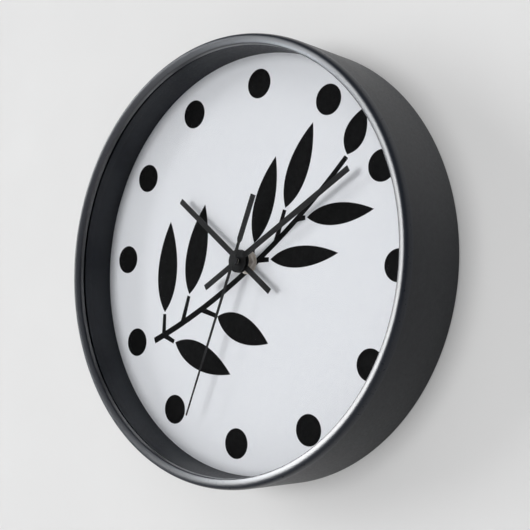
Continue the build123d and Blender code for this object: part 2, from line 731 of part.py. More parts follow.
# ---- Plates that carry the arbors ----
FRONT_PIVOTS = [
    (CENTRE, SECOND_ARBOR_RADIUS + RUNNING),
    (THIRD, ARBOR_RADIUS + RUNNING),
    (INTERMEDIATE, PIVOT_RADIUS + RUNNING),
    (ROTOR, PIVOT_RADIUS + RUNNING),
]
MIDDLE_OUTLINE = [
    (-25.8, 3.6),
    (-4.0, -5.0),
    (5.0, -5.0),
    (20.0, -2.2),
    (20.5, 2.0),
    (15.0, 15.5),
    (-6.0, 25.0),
    (-10.0, 25.0),
    (-25.8, 8.4),
]
with BuildPart() as middle_plate:
    add_plate(MIDDLE_PLATE_LEVEL, MIDDLE_PLATE_THICKNESS, MIDDLE_OUTLINE, FRONT_PIVOTS)
middle_plate.part.label = "middle_plate"
export_step(middle_plate.part, "parts/middle_plate.step")

REAR_PIVOTS = [(spot, PIVOT_RADIUS + RUNNING) for spot in (CENTRE, THIRD, INTERMEDIATE, ROTOR)]
BRIDGE_OUTLINE = [
    (-25.8, 4.2),
    (-12.0, 4.0),
    (-8.5, -1.0),
    (-4.0, -5.0),
    (5.0, -5.0),
    (20.0, -2.2),
    (20.5, 2.0),
    (15.0, 15.5),
    (-6.0, 25.0),
    (-9.6, 24.7),
    (-25.8, 7.6),
]
with BuildPart() as train_bridge:
    add_plate(BRIDGE_LEVEL, BRIDGE_THICKNESS, BRIDGE_OUTLINE, REAR_PIVOTS)
    for post in POSTS:
        add_disc(BRIDGE_FRONT, MIDDLE_PLATE_LEVEL, POST_RADIUS, centre=post)
train_bridge.part.label = "train_bridge"
export_step(train_bridge.part, "parts/train_bridge.step")

# ---- Stepping motor ----
with BuildPart() as coil_bobbin:
    half_coil = COIL_LENGTH / 2
    for flange_start in (COIL_CENTRE[0] - half_coil, COIL_CENTRE[0] + half_coil - COIL_FLANGE):
        with BuildSketch(across_plane(flange_start, COIL_CENTRE, COIL_HEIGHT)):
            Circle(COIL_FLANGE_RADIUS)
        extrude(amount=COIL_FLANGE)
    with BuildSketch(across_plane(COIL_CENTRE[0] - half_coil, COIL_CENTRE, COIL_HEIGHT)):
        Circle(BOBBIN_TUBE_RADIUS)
    extrude(amount=COIL_LENGTH)
    with BuildSketch(across_plane(COIL_CENTRE[0] - half_coil, COIL_CENTRE, COIL_HEIGHT)):
        Rectangle(CORE_THICKNESS, CORE_WIDTH)
    extrude(amount=COIL_LENGTH, mode=Mode.SUBTRACT)
coil_bobbin.part.label = "coil_bobbin"
export_step(coil_bobbin.part, "parts/coil_bobbin.step")

with BuildPart() as coil_winding:
    winding_start = COIL_CENTRE[0] - COIL_LENGTH / 2 + COIL_FLANGE
    with BuildSketch(across_plane(winding_start, COIL_CENTRE, COIL_HEIGHT)):
        Circle(WINDING_RADIUS)
        Circle(BOBBIN_TUBE_RADIUS, mode=Mode.SUBTRACT)
    extrude(amount=COIL_LENGTH - 2 * COIL_FLANGE)
coil_winding.part.label = "coil_winding"
export_step(coil_winding.part, "parts/coil_winding.step")

with BuildPart() as coil_core:
    core_start = COIL_CENTRE[0] - CORE_LENGTH / 2
    with BuildSketch(across_plane(core_start, COIL_CENTRE, COIL_HEIGHT)):
        Rectangle(CORE_THICKNESS, CORE_WIDTH)
    extrude(amount=CORE_LENGTH)
coil_core.part.label = "coil_core"
export_step(coil_core.part, "parts/coil_core.step")

STATOR_LEFT_ARM = [(-6, 23.4), (-2.6, 23.4), (-2.6, 17.2), (8.2, 15.0), (6.2, 11.5), (-6, 16.4)]
STATOR_RIGHT_ARM = [(22, 23.4), (18.6, 23.4), (18.6, 17.2), (13, 16.0), (16.6, 10.5), (22, 14.4)]
with BuildPart() as stator:
    stator_level = COIL_HEIGHT - CORE_THICKNESS / 2 - STATOR_THICKNESS
    with BuildSketch(front_plane(stator_level)):
        with Locations(ROTOR):
            Circle(STATOR_RING_RADIUS)
        Polygon(*STATOR_LEFT_ARM, align=None)
        Polygon(*STATOR_RIGHT_ARM, align=None)
        with Locations(ROTOR):
            Circle(STATOR_BORE, mode=Mode.SUBTRACT)
    extrude(amount=STATOR_THICKNESS)
stator.part.label = "stator"
export_step(stator.part, "parts/stator.step")

# ---- Gear train. The second wheel sets the phases of the train behind it. ----
intermediate_pinion_phase = meshed_phase(12, INTERMEDIATE, 60, CENTRE, 0.0)
rotor_pinion_phase = meshed_phase(10, ROTOR, 60, INTERMEDIATE, 0.0)
third_wheel_phase = meshed_phase(75, THIRD, 10, CENTRE, 0.0)
centre_wheel_phase = meshed_phase(80, CENTRE, 10, THIRD, 0.0)
motion_wheel_phase = meshed_phase(36, MOTION, 12, CENTRE, 0.0)
hour_wheel_phase = meshed_phase(40, CENTRE, 10, MOTION, 0.0)
knob_pinion_phase = meshed_phase(12, KNOB, 36, MOTION, motion_wheel_phase)

with BuildPart() as rotor_magnet:
    add_disc(MAGNET_LEVEL, MAGNET_LEVEL + MAGNET_THICKNESS, MAGNET_RADIUS, ARBOR_RADIUS, ROTOR)
rotor_magnet.part.label = "rotor_magnet"
export_step(rotor_magnet.part, "parts/rotor_magnet.step")

with BuildPart() as rotor_pinion:
    add_disc(BRIDGE_LEVEL + PIVOT_RECESS, BRIDGE_FRONT + END_SHAKE, PIVOT_RADIUS, centre=ROTOR)
    add_disc(BRIDGE_FRONT + END_SHAKE, MIDDLE_PLATE_LEVEL - END_SHAKE, ARBOR_RADIUS, centre=ROTOR)
    add_disc(MIDDLE_PLATE_LEVEL - END_SHAKE, FRONT_PIVOT_END, PIVOT_RADIUS, centre=ROTOR)
    add_gear(ROTOR_PINION_LEVEL, THIN_WHEEL, 10, ROTOR_MODULE, ROTOR, rotor_pinion_phase)
rotor_pinion.part.label = "rotor_pinion"
export_step(rotor_pinion.part, "parts/rotor_pinion.step")

with BuildPart() as intermediate_wheel:
    add_disc(BRIDGE_LEVEL + PIVOT_RECESS, BRIDGE_FRONT + END_SHAKE, PIVOT_RADIUS, centre=INTERMEDIATE)
    add_disc(BRIDGE_FRONT + END_SHAKE, MIDDLE_PLATE_LEVEL - END_SHAKE, ARBOR_RADIUS, centre=INTERMEDIATE)
    add_disc(MIDDLE_PLATE_LEVEL - END_SHAKE, FRONT_PIVOT_END, PIVOT_RADIUS, centre=INTERMEDIATE)
    add_gear(ROTOR_PINION_LEVEL, THIN_WHEEL, 60, ROTOR_MODULE, INTERMEDIATE, 0.0, 5)
    add_gear(
        SECOND_WHEEL_LEVEL,
        THIN_WHEEL,
        12,
        INTERMEDIATE_MODULE,
        INTERMEDIATE,
        intermediate_pinion_phase,
    )
intermediate_wheel.part.label = "intermediate_wheel"
export_step(intermediate_wheel.part, "parts/intermediate_wheel.step")

with BuildPart() as second_wheel:
    add_disc(BRIDGE_LEVEL + PIVOT_RECESS, BRIDGE_FRONT + END_SHAKE, PIVOT_RADIUS)
    add_disc(BRIDGE_FRONT + END_SHAKE, SECOND_LEVEL + ARBOR_ENTRY, SECOND_ARBOR_RADIUS)
    add_disc(SECOND_WHEEL_LEVEL - SECOND_HUB_PROUD, THIRD_WHEEL_LEVEL, SECOND_HUB_CORE)
    add_gear(SECOND_WHEEL_LEVEL, THIN_WHEEL, 60, INTERMEDIATE_MODULE, pockets=5)
    add_gear(THIRD_WHEEL_LEVEL, THIN_WHEEL, 10, SECOND_MODULE)
second_wheel.part.label = "second_wheel"
export_step(second_wheel.part, "parts/second_wheel.step")

with BuildPart() as third_wheel:
    add_disc(BRIDGE_LEVEL + PIVOT_RECESS, BRIDGE_FRONT + END_SHAKE, PIVOT_RADIUS, centre=THIRD)
    add_disc(BRIDGE_FRONT + END_SHAKE, THIRD_ARBOR_END, ARBOR_RADIUS, centre=THIRD)
    add_gear(THIRD_WHEEL_LEVEL, THIN_WHEEL, 75, SECOND_MODULE, THIRD, third_wheel_phase, 6)
    add_gear(CENTRE_WHEEL_LEVEL, THIN_WHEEL, 10, THIRD_MODULE, THIRD)
third_wheel.part.label = "third_wheel"
export_step(third_wheel.part, "parts/third_wheel.step")

with BuildPart() as centre_wheel:
    add_gear(CENTRE_WHEEL_LEVEL, THIN_WHEEL, 80, THIRD_MODULE, CENTRE, centre_wheel_phase, 6)
    cut_disc(CENTRE_WHEEL_LEVEL, CENTRE_WHEEL_LEVEL + THIN_WHEEL, CANNON_RADIUS + RUNNING)
centre_wheel.part.label = "centre_wheel"
export_step(centre_wheel.part, "parts/centre_wheel.step")

with BuildPart() as cannon_pinion:
    add_disc(MIDDLE_PLATE_FRONT + PLATE_GAP, CANNON_END, CANNON_RADIUS)
    add_gear(MOTION_LEVEL, THICK_WHEEL, 12, MOTION_MODULE)
    cut_disc(MIDDLE_PLATE_FRONT, CANNON_END, CANNON_BORE)
cannon_pinion.part.label = "cannon_pinion"
export_step(cannon_pinion.part, "parts/cannon_pinion.step")

with BuildPart() as motion_wheel:
    add_gear(MOTION_LEVEL, THICK_WHEEL, 36, MOTION_MODULE, MOTION, motion_wheel_phase, 5)
    add_disc(MOTION_LEVEL, HOUR_WHEEL_LEVEL, MOTION_HUB_RADIUS, centre=MOTION)
    add_gear(HOUR_WHEEL_LEVEL, THICK_WHEEL, 10, HOUR_MODULE, MOTION)
    cut_disc(MOTION_LEVEL, TRAIN_FRONT, MOTION_POST_RADIUS + PIPE_RUNNING, MOTION)
motion_wheel.part.label = "motion_wheel"
export_step(motion_wheel.part, "parts/motion_wheel.step")

with BuildPart() as hour_wheel:
    add_gear(HOUR_WHEEL_LEVEL, THICK_WHEEL, 40, HOUR_MODULE, CENTRE, hour_wheel_phase, 5)
    add_disc(HOUR_WHEEL_LEVEL, HOUR_PIPE_END, HOUR_PIPE_RADIUS)
    cut_disc(HOUR_WHEEL_LEVEL, HOUR_PIPE_END, CANNON_RADIUS + PIPE_RUNNING)
hour_wheel.part.label = "hour_wheel"
export_step(hour_wheel.part, "parts/hour_wheel.step")

with BuildPart() as setting_knob:
    with BuildSketch(front_plane(KNOB_REAR, KNOB)):
        Circle(KNOB_RADIUS)
        with PolarLocations(KNOB_RADIUS + KNOB_FLUTE_OFFSET, KNOB_FLUTES):
            Circle(KNOB_FLUTE_RADIUS, mode=Mode.SUBTRACT)
    extrude(amount=KNOB_FRONT - KNOB_REAR)
    cut_disc(KNOB_REAR, KNOB_REAR + KNOB_DISH, KNOB_RADIUS - KNOB_RIM, KNOB)
    add_disc(KNOB_REAR, KNOB_REAR + KNOB_DISH, KNOB_BOSS_RADIUS, centre=KNOB)
    add_disc(KNOB_FRONT, MOTION_LEVEL + THICK_WHEEL, KNOB_SHAFT_RADIUS, centre=KNOB)
    add_gear(MOTION_LEVEL, THICK_WHEEL, 12, MOTION_MODULE, KNOB, knob_pinion_phase)
    add_disc(MOTION_LEVEL + THICK_WHEEL, TRAIN_FRONT + KNOB_PIVOT, KNOB_PIVOT_RADIUS, centre=KNOB)
setting_knob.part.label = "setting_knob"
export_step(setting_knob.part, "parts/setting_knob.step")

# ---- Electronics and battery ----
with BuildPart() as circuit_board:
    add_block(BOARD_LEVEL, BOARD_LEVEL + BOARD_THICKNESS, BOARD_ACROSS, BOARD_UP)
circuit_board.part.label = "circuit_board"
export_step(circuit_board.part, "parts/circuit_board.step")

board_front = BOARD_LEVEL + BOARD_THICKNESS
with BuildPart() as quartz_can:
    with BuildSketch(across_plane(CAN_START_X, CAN_CENTRE, board_front + CAN_RADIUS)):
        Circle(CAN_RADIUS)
    extrude(amount=CAN_LENGTH)
quartz_can.part.label = "quartz_can"
export_step(quartz_can.part, "parts/quartz_can.step")

with BuildPart() as driver_chip:
    add_disc(board_front, board_front + CHIP_HEIGHT, CHIP_RADIUS, centre=CHIP_CENTRE)
    fillet(driver_chip.faces().sort_by(Axis.Y)[0].edges(), CHIP_ROUND)
driver_chip.part.label = "driver_chip"
export_step(driver_chip.part, "parts/driver_chip.step")

with BuildPart() as positive_contact:
    add_block(*CONTACT_LEVELS, (CONTACT_INNER_X, CONTACT_OUTER_X), CONTACT_UP)
    with BuildSketch(across_plane(CONTACT_INNER_X, (0, CELL_Z), CELL_HEIGHT)):
        Circle(CONTACT_DIMPLE_RADIUS)
    extrude(amount=-CONTACT_DIMPLE)
positive_contact.part.label = "positive_contact"
export_step(positive_contact.part, "parts/positive_contact.step")

with BuildPart() as negative_contact:
    add_block(*CONTACT_LEVELS, (-CONTACT_OUTER_X, -CONTACT_INNER_X), CONTACT_UP)
    spring_leaf = [
        (-CONTACT_INNER_X, CONTACT_UP[0]),
        (SPRING_CREST_X, CELL_Z),
        (-CONTACT_INNER_X, CONTACT_UP[1]),
        (-CONTACT_INNER_X, CONTACT_UP[1] - SPRING_END),
        (SPRING_CREST_X - SPRING_THICKNESS, CELL_Z),
        (-CONTACT_INNER_X, CONTACT_UP[0] + SPRING_END),
    ]
    add_plate(SPRING_LEVEL, SPRING_WIDTH, spring_leaf, [])
negative_contact.part.label = "negative_contact"
export_step(negative_contact.part, "parts/negative_contact.step")

with BuildPart() as aa_cell:
    body_end = CELL_TIP_X - CELL_NUB
    with BuildSketch(across_plane(body_end, (0, CELL_Z), CELL_HEIGHT)):
        Circle(CELL_RADIUS)
    extrude(amount=-(CELL_LENGTH - CELL_NUB))
    chamfer(aa_cell.edges().filter_by(GeomType.CIRCLE), CELL_CHAMFER)
    with BuildSketch(across_plane(body_end, (0, CELL_Z), CELL_HEIGHT)):
        Circle(CELL_NUB_RADIUS)
    extrude(amount=CELL_NUB)
aa_cell.part.label = "aa_cell"
export_step(aa_cell.part, "parts/aa_cell.step")

# ---- Hands ----
with BuildPart() as hour_hand:
    add_blade(HOUR_LEVEL, HOUR_ANGLE, HAND_WIDTH, -HAND_TAIL, HOUR_TIP)
    add_disc(HOUR_LEVEL, HOUR_LEVEL + HAND_THICKNESS, HOUR_HUB_RADIUS)
    add_disc(HOUR_LEVEL - HOUR_SLEEVE, HOUR_LEVEL, HOUR_SLEEVE_RADIUS)
    cut_disc(HOUR_LEVEL - HOUR_SLEEVE, HOUR_LEVEL + HAND_THICKNESS, HOUR_PIPE_RADIUS)
hour_hand.part.label = "hour_hand"
export_step(hour_hand.part, "parts/hour_hand.step")

with BuildPart() as minute_hand:
    add_blade(MINUTE_LEVEL, MINUTE_ANGLE, HAND_WIDTH, -HAND_TAIL, MINUTE_TIP)
    add_disc(MINUTE_LEVEL, MINUTE_LEVEL + HAND_THICKNESS, MINUTE_HUB_RADIUS)
    add_disc(MINUTE_LEVEL - MINUTE_SLEEVE, MINUTE_LEVEL, MINUTE_SLEEVE_RADIUS)
    cut_disc(MINUTE_LEVEL - MINUTE_SLEEVE, MINUTE_LEVEL + HAND_THICKNESS, CANNON_RADIUS)
minute_hand.part.label = "minute_hand"
export_step(minute_hand.part, "parts/minute_hand.step")

# The second hand's outline, with its length along +Y: a tapering pointer and a wide tail.
with BuildPart() as second_hand:
    tail_half = COUNTERWEIGHT_WIDTH / 2
    root_half = SECOND_ROOT_WIDTH / 2
    tip_half = SECOND_TIP_WIDTH / 2
    pointer_side = [
        (tail_half, -SECOND_TAIL),
        (tail_half, -COUNTERWEIGHT_START - COUNTERWEIGHT_SHOULDER),
        (root_half, -COUNTERWEIGHT_START),
        (root_half, 0),
        (tip_half, SECOND_TIP),
    ]
    other_side = [(-x, y) for x, y in pointer_side[::-1]]
    with BuildSketch(front_plane(SECOND_LEVEL)) as pointer:
        with Locations(Rotation(0, 0, -SECOND_ANGLE)):
            Polygon(*pointer_side, *other_side, align=None)
    extrude(pointer.sketch, amount=HAND_THICKNESS)
    add_disc(SECOND_LEVEL, SECOND_LEVEL + HAND_THICKNESS, SECOND_HUB_RADIUS)
    add_disc(SECOND_LEVEL - SECOND_SLEEVE, SECOND_LEVEL, SECOND_SLEEVE_RADIUS)
    cut_disc(SECOND_LEVEL - SECOND_SLEEVE, SECOND_LEVEL + ARBOR_ENTRY, SECOND_ARBOR_RADIUS)
second_hand.part.label = "second_hand"
export_step(second_hand.part, "parts/second_hand.step")
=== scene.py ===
import json
from math import cos, pi, radians, sin

import bmesh
import bpy
from mathutils import Matrix, Vector


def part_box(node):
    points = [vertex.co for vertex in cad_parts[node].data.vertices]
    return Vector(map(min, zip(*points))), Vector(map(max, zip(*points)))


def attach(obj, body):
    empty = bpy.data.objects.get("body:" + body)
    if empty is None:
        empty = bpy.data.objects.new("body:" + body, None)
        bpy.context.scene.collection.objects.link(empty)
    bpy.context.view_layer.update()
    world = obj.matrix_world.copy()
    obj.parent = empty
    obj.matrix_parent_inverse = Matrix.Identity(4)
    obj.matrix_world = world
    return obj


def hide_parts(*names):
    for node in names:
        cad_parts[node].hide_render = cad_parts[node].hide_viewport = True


# A round wall clock, in metres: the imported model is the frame, and this script gives it
# its looks. The dial faces -Y, the wall is at the case's rear rim, and +Z is up.
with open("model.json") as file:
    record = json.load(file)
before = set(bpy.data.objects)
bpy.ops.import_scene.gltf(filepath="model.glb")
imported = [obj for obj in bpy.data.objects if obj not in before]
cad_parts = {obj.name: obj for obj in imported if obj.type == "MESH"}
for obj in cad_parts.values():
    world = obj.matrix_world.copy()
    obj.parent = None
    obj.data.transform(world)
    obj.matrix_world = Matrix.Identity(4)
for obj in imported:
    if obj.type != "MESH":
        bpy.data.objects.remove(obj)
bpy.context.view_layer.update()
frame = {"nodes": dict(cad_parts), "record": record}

# ---- Places read from the frame ----
case_low, case_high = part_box("case_ring")
AXIS_X = (case_low.x + case_high.x) / 2
AXIS_Z = (case_low.z + case_high.z) / 2
FRONT_Y = case_low.y
REAR_Y = case_high.y
CASE_RADIUS = (case_high.x - case_low.x) / 2
CRYSTAL_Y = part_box("crystal")[0].y

# ---- Case section: drum, crease, rounded shoulder, shallow bevel and lip ----
CASE_WALL = 0.004
REAR_CHAMFER = 0.0008
CREASE_RISE = 0.0043
SHOULDER_WIDTH = 0.0022
BEVEL_WIDTH = 0.0033
BEVEL_DROP = 0.0008
BEVEL_SLOPE = 0.4
LIP_WIDTH = 0.0063
LIP_ROUND = 0.0012
CREASE_Y = FRONT_Y + CREASE_RISE
LIP_RADIUS = CASE_RADIUS - LIP_WIDTH

# Where the control points of the section's curves lie, as shares of the sizes above
SHOULDER_INWARD = 0.1
SHOULDER_FORWARD = 0.6
CROWN_OUTWARD = 0.4
CROWN_INWARD = 0.3
BEVEL_HOLD = 0.35
LIP_HOLD = 0.5
LIP_TURN = 0.4

# ---- Meshes ----
CASE_SEGMENTS = 360
COIL_SEGMENTS = 48
CELL_SEGMENTS = 96
CURVE_STEPS = 12
WELD_DISTANCE = 1e-7
SHARP_ANGLE = radians(30)

# ---- Coil and cell details ----
WIRE_PITCH = 0.0004
WIRE_STEPS = 4
COIL_TUBE_RADIUS = 0.0019
CELL_NUB = 0.001
CELL_NUB_RADIUS = 0.0027
CELL_SHOULDER = 0.0006
CELL_RIM_RADIUS = 0.0056
CELL_STRIPE = 0.014
CELL_STRIPE_COLOR = (0.58, 0.33, 0.12)

# ---- Camera: angles in degrees, lens and sensor in millimetres ----
CAMERA_AZIMUTH = 41.5
CAMERA_ELEVATION = -2.6
CAMERA_DISTANCE = 0.5547
CAMERA_LENS = 70.6
CAMERA_ROLL = 3.6
CAMERA_SENSOR = 36.0
CAMERA_CLIP_START = 0.01
TARGET_RIGHT = 0.0365
TARGET_DOWN = 0.003

# ---- Light; the wall's glow stands in for what the rest of a room gives back ----
WORLD_STRENGTH = 0.03
WALL_GLOW = 0.215
WHITE = (1.0, 1.0, 1.0)
COOL_WHITE = (0.86, 0.93, 1.0)
WORLD_COLOR = (0.93, 0.96, 1.0, 1.0)

# ---- Stage ----
STAGE_SPAN = 3.0
FLOOR_DROP = 0.6
WALL_GAP = 0.0004

# ---- Finishes ----
NOISE_LOW = 0.3
NOISE_HIGH = 0.7
TONE_GRAIN = 0.12
GLOSS_GRAIN = 0.3
GLOSS_SWING = 0.12
CRYSTAL_REFLECTION_IOR = 1.18
CRYSTAL_ROUGHNESS = 0.03
BEAD_ROUGHNESS = 0.3
BEAD_GRAIN = 500
BEAD_SWING = 0.1
BEAD_COLOR = (0.018, 0.0205, 0.027)
BEAD_TEXTURE = 0.05
COAT_FADE = 0.0006
FINISH_BLEND = 0.0003


def direction(azimuth, elevation):
    """Unit vector from the clock: azimuth 0 is out of the dial and 90 is to its right."""
    turn = radians(azimuth)
    rise = radians(elevation)
    return Vector((sin(turn) * cos(rise), -cos(turn) * cos(rise), sin(rise)))


# ---- Small node helpers ----
def new_material(name, color, roughness, metallic=0.0, **sockets):
    """A Principled material with plain values on its own sockets."""
    made = bpy.data.materials.new(name)
    made.use_nodes = True
    shader = made.node_tree.nodes["Principled BSDF"]
    shader.inputs["Base Color"].default_value = (*color, 1.0)
    shader.inputs["Roughness"].default_value = roughness
    shader.inputs["Metallic"].default_value = metallic
    for socket, value in sockets.items():
        shader.inputs[socket.replace("_", " ")].default_value = value
    return made


def add_node(made, kind, **settings):
    """A node of this kind, with its properties set by name."""
    node = made.node_tree.nodes.new(kind)
    for name, value in settings.items():
        setattr(node, name, value)
    return node


def noise_of(made, scale, detail=3.0, stretch=(1, 1, 1)):
    """Noise in object space, stretched along an axis where a tool or a brush ran."""
    links = made.node_tree.links
    place = add_node(made, "ShaderNodeTexCoord")
    mapping = add_node(made, "ShaderNodeMapping")
    mapping.inputs["Scale"].default_value = stretch
    noise = add_node(made, "ShaderNodeTexNoise")
    noise.inputs["Scale"].default_value = scale
    noise.inputs["Detail"].default_value = detail
    links.new(place.outputs["Object"], mapping.inputs["Vector"])
    links.new(mapping.outputs["Vector"], noise.inputs["Vector"])
    return noise.outputs["Fac"]


def spread(made, value, low, high):
    """Maps the range where most of a noise lies to low..high."""
    node = add_node(made, "ShaderNodeMapRange")
    node.inputs["From Min"].default_value = NOISE_LOW
    node.inputs["From Max"].default_value = NOISE_HIGH
    node.inputs["To Min"].default_value = low
    node.inputs["To Max"].default_value = high
    made.node_tree.links.new(value, node.inputs["Value"])
    return node.outputs["Result"]


def tone(made, value, dark, light):
    """Mixes two colours by a noise and feeds the base colour."""
    mix = add_node(made, "ShaderNodeMix", data_type="RGBA")
    mix.inputs["A"].default_value = (*dark, 1.0)
    mix.inputs["B"].default_value = (*light, 1.0)
    shader = made.node_tree.nodes["Principled BSDF"]
    made.node_tree.links.new(spread(made, value, 0.0, 1.0), mix.inputs["Factor"])
    made.node_tree.links.new(mix.outputs["Result"], shader.inputs["Base Color"])


def bump(made, value, relief):
    """Raises the surface by a noise, to this height in metres."""
    node = add_node(made, "ShaderNodeBump")
    node.inputs["Strength"].default_value = 1.0
    node.inputs["Distance"].default_value = relief
    shader = made.node_tree.nodes["Principled BSDF"]
    made.node_tree.links.new(value, node.inputs["Height"])
    made.node_tree.links.new(node.outputs["Normal"], shader.inputs["Normal"])


def surface(name, dark, light, rough, grain, relief, metallic=0.0, stretch=(1, 1, 1), **sockets):
    """A material whose tone, roughness and fine relief all vary with noise.

    grain is the scale of the finest noise, and relief its height in metres.
    """
    made = new_material(name, light, rough, metallic, **sockets)
    shader = made.node_tree.nodes["Principled BSDF"]
    tone(made, noise_of(made, grain * TONE_GRAIN, detail=2.0, stretch=stretch), dark, light)
    patches = noise_of(made, grain * GLOSS_GRAIN, stretch=stretch)
    varied = spread(made, patches, rough * (1 - GLOSS_SWING), rough * (1 + GLOSS_SWING))
    made.node_tree.links.new(varied, shader.inputs["Roughness"])
    bump(made, noise_of(made, grain, detail=4.0, stretch=stretch), relief)
    return made


def bevel_share(made, split):
    """One on the bead's bevel, fading to nothing just outside its crown."""
    links = made.node_tree.links
    squares = []
    for axis, centre in (("X", AXIS_X), ("Z", AXIS_Z)):
        across = add_node(made, "ShaderNodeMath", operation="SUBTRACT")
        across.inputs[1].default_value = centre
        links.new(split.outputs[axis], across.inputs[0])
        square = add_node(made, "ShaderNodeMath", operation="MULTIPLY")
        links.new(across.outputs[0], square.inputs[0])
        links.new(across.outputs[0], square.inputs[1])
        squares.append(square.outputs[0])
    total = add_node(made, "ShaderNodeMath", operation="ADD")
    links.new(squares[0], total.inputs[0])
    links.new(squares[1], total.inputs[1])
    radius = add_node(made, "ShaderNodeMath", operation="SQRT")
    links.new(total.outputs[0], radius.inputs[0])
    share = add_node(made, "ShaderNodeMapRange", interpolation_type="SMOOTHSTEP")
    share.inputs["From Min"].default_value = CASE_RADIUS - SHOULDER_WIDTH + COAT_FADE
    share.inputs["From Max"].default_value = CASE_RADIUS - SHOULDER_WIDTH - 2 * COAT_FADE
    links.new(radius.outputs[0], share.inputs["Value"])
    return share.outputs["Result"]


def two_finish_case(made):
    """Smoother and cooler on the bead, forward of the crease, than on the textured side."""
    links = made.node_tree.links
    shader = made.node_tree.nodes["Principled BSDF"]
    place = add_node(made, "ShaderNodeTexCoord")
    split = add_node(made, "ShaderNodeSeparateXYZ")
    links.new(place.outputs["Object"], split.inputs[0])
    forward = add_node(made, "ShaderNodeMapRange")
    forward.inputs["From Min"].default_value = CREASE_Y + FINISH_BLEND
    forward.inputs["From Max"].default_value = CREASE_Y - FINISH_BLEND
    links.new(split.outputs["Y"], forward.inputs["Value"])
    side_rough = shader.inputs["Roughness"].links[0].from_socket
    bead_rough = spread(
        made, noise_of(made, BEAD_GRAIN),
        BEAD_ROUGHNESS * (1 - BEAD_SWING), BEAD_ROUGHNESS * (1 + BEAD_SWING),
    )
    rough = add_node(made, "ShaderNodeMix", data_type="FLOAT")
    links.new(forward.outputs["Result"], rough.inputs["Factor"])
    links.new(side_rough, rough.inputs["A"])
    links.new(bead_rough, rough.inputs["B"])
    links.new(rough.outputs["Result"], shader.inputs["Roughness"])
    side_color = shader.inputs["Base Color"].links[0].from_socket
    color = add_node(made, "ShaderNodeMix", data_type="RGBA")
    links.new(forward.outputs["Result"], color.inputs["Factor"])
    links.new(side_color, color.inputs["A"])
    color.inputs["B"].default_value = (*BEAD_COLOR, 1.0)
    links.new(color.outputs["Result"], shader.inputs["Base Color"])
    links.new(bevel_share(made, split), shader.inputs["Coat Weight"])
    texture = shader.inputs["Normal"].links[0].from_node
    depth = add_node(made, "ShaderNodeMapRange")
    depth.inputs["To Min"].default_value = 1.0
    depth.inputs["To Max"].default_value = BEAD_TEXTURE
    links.new(forward.outputs["Result"], depth.inputs["Value"])
    links.new(depth.outputs["Result"], texture.inputs["Strength"])


def striped_wrap(made):
    """A copper-coloured band round the positive end of the cell."""
    links = made.node_tree.links
    shader = made.node_tree.nodes["Principled BSDF"]
    place = add_node(made, "ShaderNodeTexCoord")
    split = add_node(made, "ShaderNodeSeparateXYZ")
    links.new(place.outputs["Object"], split.inputs[0])
    band = add_node(made, "ShaderNodeMath", operation="GREATER_THAN")
    band.inputs[1].default_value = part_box("aa_cell")[1].x - CELL_STRIPE
    links.new(split.outputs["X"], band.inputs[0])
    color = add_node(made, "ShaderNodeMix", data_type="RGBA")
    links.new(band.outputs[0], color.inputs["Factor"])
    links.new(shader.inputs["Base Color"].links[0].from_socket, color.inputs["A"])
    color.inputs["B"].default_value = (*CELL_STRIPE_COLOR, 1.0)
    links.new(color.outputs["Result"], shader.inputs["Base Color"])


def clear_material():
    """Clear acrylic: it shows what is behind it, with a weak and nearly sharp reflection."""
    made = bpy.data.materials.new("clear_crystal")
    made.use_nodes = True
    nodes = made.node_tree.nodes
    links = made.node_tree.links
    nodes.remove(nodes["Principled BSDF"])
    edge = add_node(made, "ShaderNodeFresnel")
    edge.inputs["IOR"].default_value = CRYSTAL_REFLECTION_IOR
    mix = add_node(made, "ShaderNodeMixShader")
    through = add_node(made, "ShaderNodeBsdfTransparent")
    mirror = add_node(made, "ShaderNodeBsdfGlossy")
    mirror.inputs["Roughness"].default_value = CRYSTAL_ROUGHNESS
    links.new(edge.outputs["Fac"], mix.inputs[0])
    links.new(through.outputs[0], mix.inputs[1])
    links.new(mirror.outputs[0], mix.inputs[2])
    links.new(mix.outputs[0], nodes["Material Output"].inputs["Surface"])
    return made


